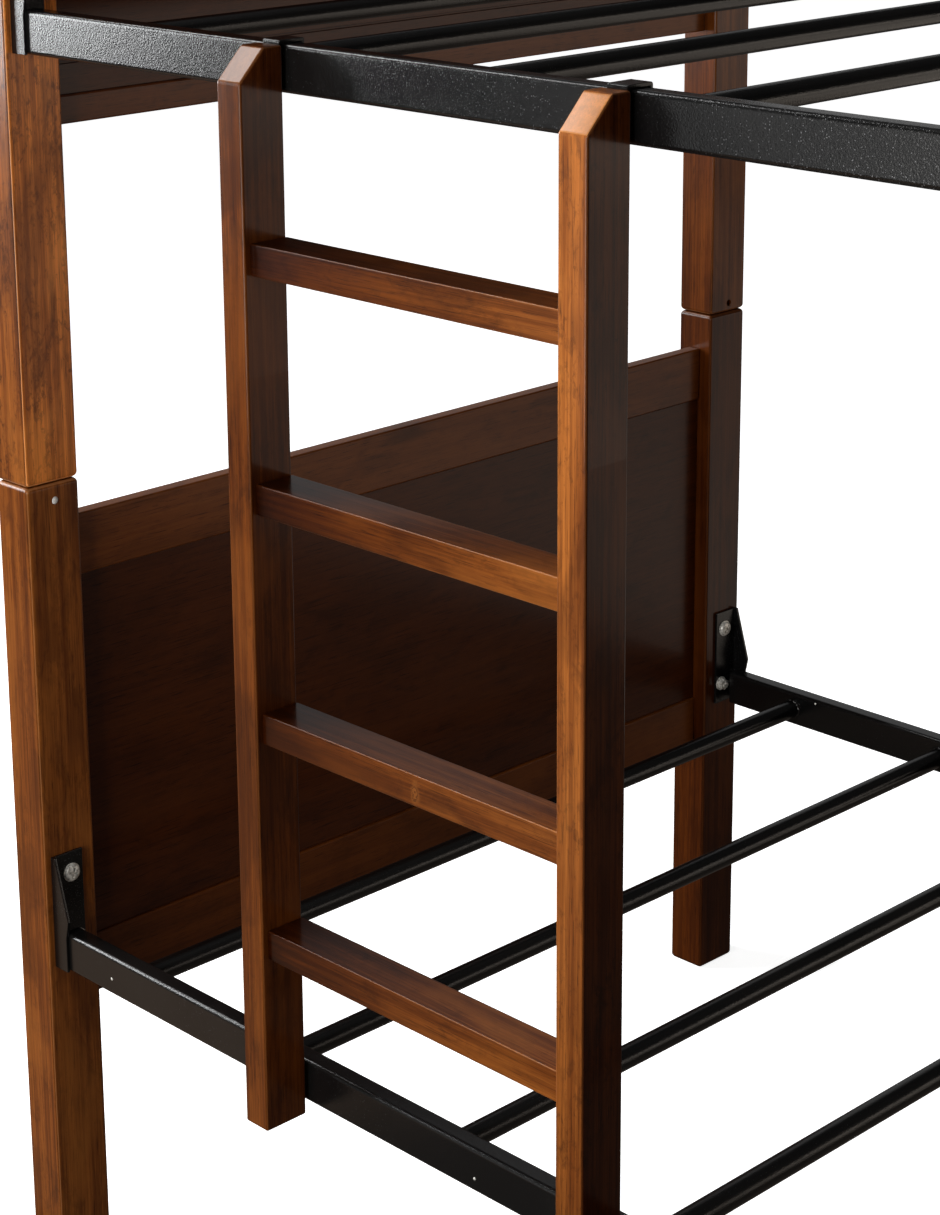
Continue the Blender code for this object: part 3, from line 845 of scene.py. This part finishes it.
def bent_sheet(x, inward, y, across, sizes, levels):
    """A sheet bent to an L about an upright corner, with one leg's reach changing with height."""
    plate, width, fold = sizes
    bm = bmesh.new()
    rings = []
    for z, reach in levels:
        section = ((0, 0), (reach, 0), (reach, fold), (plate, fold), (plate, width), (0, width))
        rings.append([bm.verts.new((x + inward * a, y + across * b, z)) for a, b in section])
    for lower, upper in zip(rings, rings[1:]):
        skin(bm, lower, upper)
    bm.faces.new(rings[0])
    bm.faces.new(rings[-1])
    bmesh.ops.recalc_face_normals(bm, faces=bm.faces)
    bmesh.ops.dissolve_limit(bm, angle_limit=0.01, verts=bm.verts, edges=bm.edges)
    round_edges(bm, bm.edges, SHEET_ROUND, 2)
    return bm


def make_rivets():
    """Small bright rivets that close the side rails' drain holes."""
    for node, x, z, outward in RIVETS:
        low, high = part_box(node)
        sign = 1 if "rear" in node else -1
        outer = (high.y if sign > 0 else low.y) - sign * FOLD_T
        face = outer if outward == sign else outer - sign * RAIL_T
        rivet = turned([(0, -0.0008), (0.0014, -0.0008), (0.0014, 0.0003), (0.0008, 0.0008),
                        (0, 0.0010)], 20)
        rivet.transform(Matrix.Translation((x, face, z))
                        @ Matrix.Rotation(-outward * math.pi / 2, 4, "X"))
        side = "outer" if outward == sign else "inner"
        piece(f"plug_{node}_{side}_{abs(x):.1f}", rivet, ZINC, body_of(node))


def ordered(first, second):
    low = [min(a, b) for a, b in zip(first, second)]
    high = [max(a, b) for a, b in zip(first, second)]
    return low, high


def fastener(name, bm, body, place, inward, twist):
    """Turn a fastener made along +Z so that it stands out of a post's face."""
    bm.transform(Matrix.Translation(Vector(place)) @ Matrix.Rotation(inward * math.pi / 2, 4, "Y")
                 @ Matrix.Rotation(twist, 4, "Z"))
    piece(name, bm, ZINC, body, smooth=32.0)


def bolt_head():
    """A pan head with a cross recess, on a thin washer."""
    r, h = BOLT_HEAD_R, BOLT_HEAD_H
    head = turned([(0, 0.0), (r * 1.12, 0.0), (r * 1.12, 0.0009), (r, 0.0010), (r, h * 0.45),
                   (r * 0.93, h * 0.72), (r * 0.74, h * 0.92), (r * 0.42, h), (0, h)], 32)
    arms = [block((-r * 0.62, -r * 0.13, h * 0.45), (r * 0.62, r * 0.13, h * 1.6)),
            block((-r * 0.13, -r * 0.62, h * 0.45), (r * 0.13, r * 0.62, h * 1.6))]
    return reopened(cut_mesh(head, arms, "bolt_head"))


def nut_on_stud():
    """A hexagon nut with chamfered corners, its washer and the threaded end of a bolt."""
    washer_r, washer_h = NUT_R * 1.18, 0.0012
    bm = turned([(0, 0.0), (washer_r, 0.0), (washer_r, washer_h), (0, washer_h)], 32)
    nut = bmesh.new()
    bmesh.ops.create_cone(nut, cap_ends=True, segments=6, depth=NUT_H, radius1=NUT_R, radius2=NUT_R)
    bmesh.ops.translate(nut, verts=nut.verts, vec=(0, 0, washer_h + NUT_H / 2))
    round_edges(nut, nut.edges, 0.0006, 2)
    merge(bm, nut)
    top = washer_h + NUT_H
    profile = [(0, top - 0.001), (STUD_R, top - 0.001)]
    pitch, turns = 0.0008, 3
    for i in range(turns):
        profile += [(STUD_R, top + pitch * i), (STUD_R * 0.88, top + pitch * (i + 0.5))]
    profile += [(STUD_R * 0.95, top + pitch * turns), (STUD_R * 0.8, top + pitch * turns + 0.0005),
                (0, top + pitch * turns + 0.0005)]
    merge(bm, turned(profile, 24))
    return bm


def make_cross_tubes(level):
    """Smooth round tubes, and the weld beads that join them to the side rails."""
    body = body_of(f"{level}_cross_tube_1")
    beads = bmesh.new()
    for i in range(TUBES_PER_DECK):
        node = f"{level}_cross_tube_{i + 1}"
        low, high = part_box(node)
        middle = (low + high) / 2
        tube = pipe(circle(middle.x, middle.z, TUBE_R, TUBE_SIDES),
                    circle(middle.x, middle.z, TUBE_R - RAIL_WALL, TUBE_SIDES), "Y", low.y, high.y)
        piece("steel_" + node, tube, STEEL, body, tone=0.08, smooth=50.0, nodes=(node,))
        for y, inward in ((low.y, 1), (high.y, -1)):
            merge(beads, weld_bead(middle.x, middle.z, y, inward, i))
    piece(f"welds_{level}_deck", beads, STEEL, body, tone=0.1, smooth=60.0)


def weld_bead(x, z, y, inward, seed):
    """A rippled fillet round the end of a tube."""
    bm = bmesh.new()
    around, across, sunk = 60, 6, 0.0002
    rings = []
    for i in range(around):
        angle = 2 * math.pi * i / around
        ripple = 1.0 + 0.16 * math.sin(11 * angle + seed) + 0.08 * math.sin(5 * angle + 2 * seed)
        ring = []
        for j in range(across):
            lift = 0.5 * math.pi * j / (across - 1)
            out = WELD_R * ripple * math.cos(lift)
            along = WELD_R * ripple * math.sin(lift)
            radius = TUBE_R - sunk + out
            ring.append(bm.verts.new((x + radius * math.cos(angle), y + inward * (along - sunk),
                                      z + radius * math.sin(angle))))
        rings.append(ring)
    for i in range(around):
        first, second = rings[i], rings[(i + 1) % around]
        for j in range(across - 1):
            bm.faces.new((first[j], second[j], second[j + 1], first[j + 1]))
        bm.faces.new((first[-1], second[-1], second[0], first[0]))
    return bm


def make_hooks():
    """Bent straps behind the stiles that hook over the side rail."""
    thick, over_drop, back_drop, bend = 0.003, 0.0393, 0.0293, 0.0022
    for side in ("left", "right"):
        node = f"ladder_hook_{side}"
        low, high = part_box(node)
        y0, y1, top = low.y, high.y, high.z
        outline = [(y0, top - over_drop), (y0 + thick, top - over_drop), (y0 + thick, top - thick),
                   (y1 - thick, top - thick), (y1 - thick, top - back_drop), (y1, top - back_drop),
                   *arc(y1 - bend, top - bend, bend, 0.0), *arc(y0 + bend, top - bend, bend, 0.5)]
        piece("steel_" + node, sweep(outline, "X", low.x, high.x, HOOK_ROUND, 1), STEEL,
              "ladder", tone=0.25, nodes=(node,))


def arc(a, b, radius, start, steps=5):
    """A quarter circle of points, starting at a number of half turns."""
    angles = [math.pi * (start + 0.5 * i / steps) for i in range(steps + 1)]
    return [(a + radius * math.cos(angle), b + radius * math.sin(angle)) for angle in angles]


def make_guards():
    """Guard rails of the upper bunk: tubes, end tabs on the posts, caps and the upright."""
    for place in ("rear", "front"):
        for level in ("upper", "lower"):
            node = f"{place}_guard_{level}_rail"
            low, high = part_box(node)
            tube = box_tube(low.y, low.z, high.y, high.z, RAIL_ROUND, 5, "X", low.x, high.x)
            piece("steel_" + node, tube, STEEL, "upper_bunk", smooth=50.0, nodes=(node,))
            inner_y, sign = (low.y, -1) if place == "rear" else (high.y, 1)
            ends = [("right", high.x, -1)]
            if place == "rear":
                ends.append(("left", low.x, 1))
            for end, x, inward in ends:
                guard_tab(f"{node}_{end}", x, inward, inner_y, sign, (low.z + high.z) / 2)
            if place == "front":
                cap = block((low.x, low.y + GAP, low.z + GAP),
                            (low.x + CAP_T, high.y - GAP, high.z - GAP), CAP_ROUND, 2)
                piece(f"cap_{node}", cap, CAP, "upper_bunk")
    make_upright()


def guard_tab(name, x, inward, inner_y, sign, z):
    """An angle tab between a guard rail's end and the post, with one bolt."""
    reach, width, thick, half, bolt_in = 0.026, 0.026, 0.0025, 0.013, 0.015
    y_out = inner_y + sign * GAP
    tab = bent_sheet(x, inward, y_out, sign, (thick, width, thick),
                     ((z - half, reach), (z + half, reach)))
    piece("tab_" + name, tab, STEEL, "upper_bunk")
    fastener("tab_bolt_" + name, small_bolt(), "upper_bunk",
             (x + inward * thick, y_out + sign * bolt_in, z), inward, 0.4)


def small_bolt():
    """A low round head with a hexagon socket."""
    r, h = 0.0052, 0.003
    head = turned([(0, 0.0), (r, 0.0), (r, h * 0.4), (r * 0.85, h * 0.8), (r * 0.5, h), (0, h)], 24)
    socket = bmesh.new()
    bmesh.ops.create_cone(socket, cap_ends=True, segments=6, depth=h * 1.2,
                          radius1=r * 0.45, radius2=r * 0.45)
    bmesh.ops.translate(socket, verts=socket.verts, vec=(0, 0, h))
    return reopened(cut_mesh(head, [socket], "small_bolt"))


def make_upright():
    """The upright of the front guard, bolted to the side rail and to both guard rails."""
    node = "front_guard_upright"
    low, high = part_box(node)
    tube = box_tube(low.x, low.y, high.x, high.y, GUARD_POST_ROUND, 5, "Z", low.z, high.z)
    piece("steel_" + node, tube, STEEL, "upper_bunk", smooth=50.0, nodes=(node,))
    cap = block((low.x + GAP, low.y + GAP, high.z - CAP_T),
                (high.x - GAP, high.y - GAP, high.z), CAP_ROUND, 2)
    piece("cap_" + node, cap, CAP, "upper_bunk")
    x = (low.x + high.x) / 2
    heights = [low.z + rise for rise in UPRIGHT_BOLTS]
    for level in ("lower", "upper"):
        rail_low, rail_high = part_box(f"front_guard_{level}_rail")
        heights.append((rail_low.z + rail_high.z) / 2)
    for i, z in enumerate(heights):
        bolt = small_bolt()
        bolt.transform(Matrix.Translation((x, high.y, z)) @ Matrix.Rotation(-math.pi / 2, 4, "X"))
        piece(f"upright_bolt_{i + 1}", bolt, ZINC, "upper_bunk", smooth=32.0)


# ---- stage: floor, backdrop, lights and camera ---------------------------------------------------
SKY_STRENGTH = 0.03
WHITE = (1.0, 1.0, 1.0)
WARM = (1.0, 0.88, 0.76)
ABOVE = 3.0
# name, place, what it points at, width, height, watts and colour; the ones that lie just over
# the floor stand for the light that a pale floor throws back
LIGHTS = (
    ("key", (-0.35, -2.5, 1.25), (-0.35, 0.0, 0.95), 1.2, 1.6, 36.0, (1.0, 0.98, 0.94)),
    ("window", (-3.65, -1.50, 1.62), (-0.8, -0.45, 1.3), 1.7, 1.64, 150.0, (0.97, 0.99, 1.0)),
    ("skylight", (-3.65, -1.15, 4.1), (-0.61, -0.53, 1.28), 1.1, 1.1, 38.0, WHITE),
    ("rear_left", (-4.4, 3.6, 2.2), (0.0, 0.0, 0.9), 4.5, 5.0, 20.0, WHITE),
    ("fill", (-1.9, -3.15, 0.8), (-0.1, -0.49, 1.27), 1.0, 1.2, 3.0, WHITE),
    ("floor_front", (-1.9, -1.35, 0.02), (-1.9, -1.35, ABOVE), 1.8, 1.6, 2.4, (1.0, 0.66, 0.44)),
    ("floor_near", (1.70, 2.90, 0.02), (1.70, 2.90, ABOVE), 4.6, 3.2, 25.0, WARM),
    ("floor_far", (2.10, 3.20, 0.02), (2.10, 3.20, ABOVE), 3.8, 2.6, 24.0, WARM),
    ("wall_right", (3.0, 3.4, 0.80), (0.0, 0.4, 1.0), 3.2, 1.0, 13.0, WARM),
    ("glint", (3.2, -1.2, 2.5), (0.0, 0.0, 0.9), 0.3, 0.3, 8.0, WHITE),
    ("ceiling", (0.0, 0.0, 4.4), (0.0, 0.0, 0.5), 5.0, 5.0, 8.0, WHITE),
    ("bounce", (-0.6, -0.6, -0.3), (-0.6, -0.6, ABOVE), 6.5, 6.5, 6.0, (1.0, 0.72, 0.50)),
)


def make_floor():
    """A pale floor, and a pale backdrop all round that only the camera sees."""
    n = Nodes("pale_floor")
    distance = n.add("ShaderNodeVectorMath", operation="LENGTH")
    n.link(n.add("ShaderNodeTexCoord").outputs["Object"], distance.inputs[0])
    glow = n.span(distance.outputs["Value"], 1.0, 3.2, 0.84, 1.0)
    n.set(Base_Color=(0.80, 0.80, 0.80, 1.0), Roughness=0.9, Emission_Color=(1.0, 1.0, 1.0, 1.0))
    n.set(Emission_Strength=glow)
    bm = bmesh.new()
    bmesh.ops.create_grid(bm, x_segments=1, y_segments=1, size=30.0)
    bmesh.ops.translate(bm, verts=bm.verts, vec=(0, 0, cad_low.z - 0.0002))
    stage_piece("floor", bm, n.mat)
    n = Nodes("pale_backdrop")
    n.set(Base_Color=(0.0, 0.0, 0.0, 1.0), Roughness=1.0, Specular_IOR_Level=0.0)
    n.set(Emission_Color=(1.0, 1.0, 1.0, 1.0), Emission_Strength=1.0)
    bm = bmesh.new()
    bmesh.ops.create_icosphere(bm, subdivisions=4, radius=28.0)
    stage_piece("backdrop", bm, n.mat)


def stage_piece(name, bm, mat):
    mesh = bpy.data.meshes.new(name)
    bm.to_mesh(mesh)
    bm.free()
    mesh.materials.append(mat)
    obj = bpy.data.objects.new(name, mesh)
    bpy.context.scene.collection.objects.link(obj)
    obj.visible_diffuse = False
    obj.visible_glossy = False
    obj.visible_shadow = False


def area_light(name, place, target, width, height, power, colour):
    data = bpy.data.lights.new(name, "AREA")
    data.shape = "RECTANGLE"
    data.size, data.size_y = width, height
    data.energy = power
    data.color = colour
    light = bpy.data.objects.new(name, data)
    bpy.context.scene.collection.objects.link(light)
    light.location = place
    light.rotation_mode = "QUATERNION"
    light.rotation_quaternion = (Vector(target) - Vector(place)).to_track_quat("-Z", "Y")
    light.visible_camera = False


def make_lights():
    world = bpy.data.worlds.new("studio")
    bpy.context.scene.world = world
    world.use_nodes = True
    sky = world.node_tree.nodes["Background"]
    sky.inputs["Color"].default_value = (1.0, 1.0, 1.0, 1.0)
    sky.inputs["Strength"].default_value = SKY_STRENGTH
    for row in LIGHTS:
        area_light(*row)


def make_camera():
    data = bpy.data.cameras.new("camera")
    data.lens = CAMERA_LENS
    data.sensor_width = 36.0
    data.shift_x, data.shift_y = CAMERA_SHIFT
    data.clip_end = 100.0
    camera = bpy.data.objects.new("camera", data)
    bpy.context.scene.collection.objects.link(camera)
    camera.matrix_world = (Matrix.Translation(CAMERA_PLACE) @ Matrix.Rotation(CAMERA_YAW, 4, "Z")
                           @ Matrix.Rotation(math.pi / 2 - CAMERA_PITCH, 4, "X")
                           @ Matrix.Rotation(CAMERA_ROLL, 4, "Z"))
    bpy.context.scene.camera = camera
    bpy.context.scene.view_settings.view_transform = "Standard"


# ---- build ---------------------------------------------------------------------------------------
make_camera()
make_floor()
make_lights()
for i, (corner, looks) in enumerate(POST_LOOKS.items()):
    make_post(f"lower_post_{corner}", 3.0 + 1.9 * i, *looks[0])
    make_post(f"upper_post_{corner}", 31.0 + 2.3 * i, *looks[1])
make_boards()
make_ladder()
make_dowels()
for deck in ("lower", "upper"):
    make_side_rail(f"{deck}_side_rail_front")
    make_side_rail(f"{deck}_side_rail_rear")
    make_cross_tubes(deck)
make_rivets()
make_hooks()
make_guards()
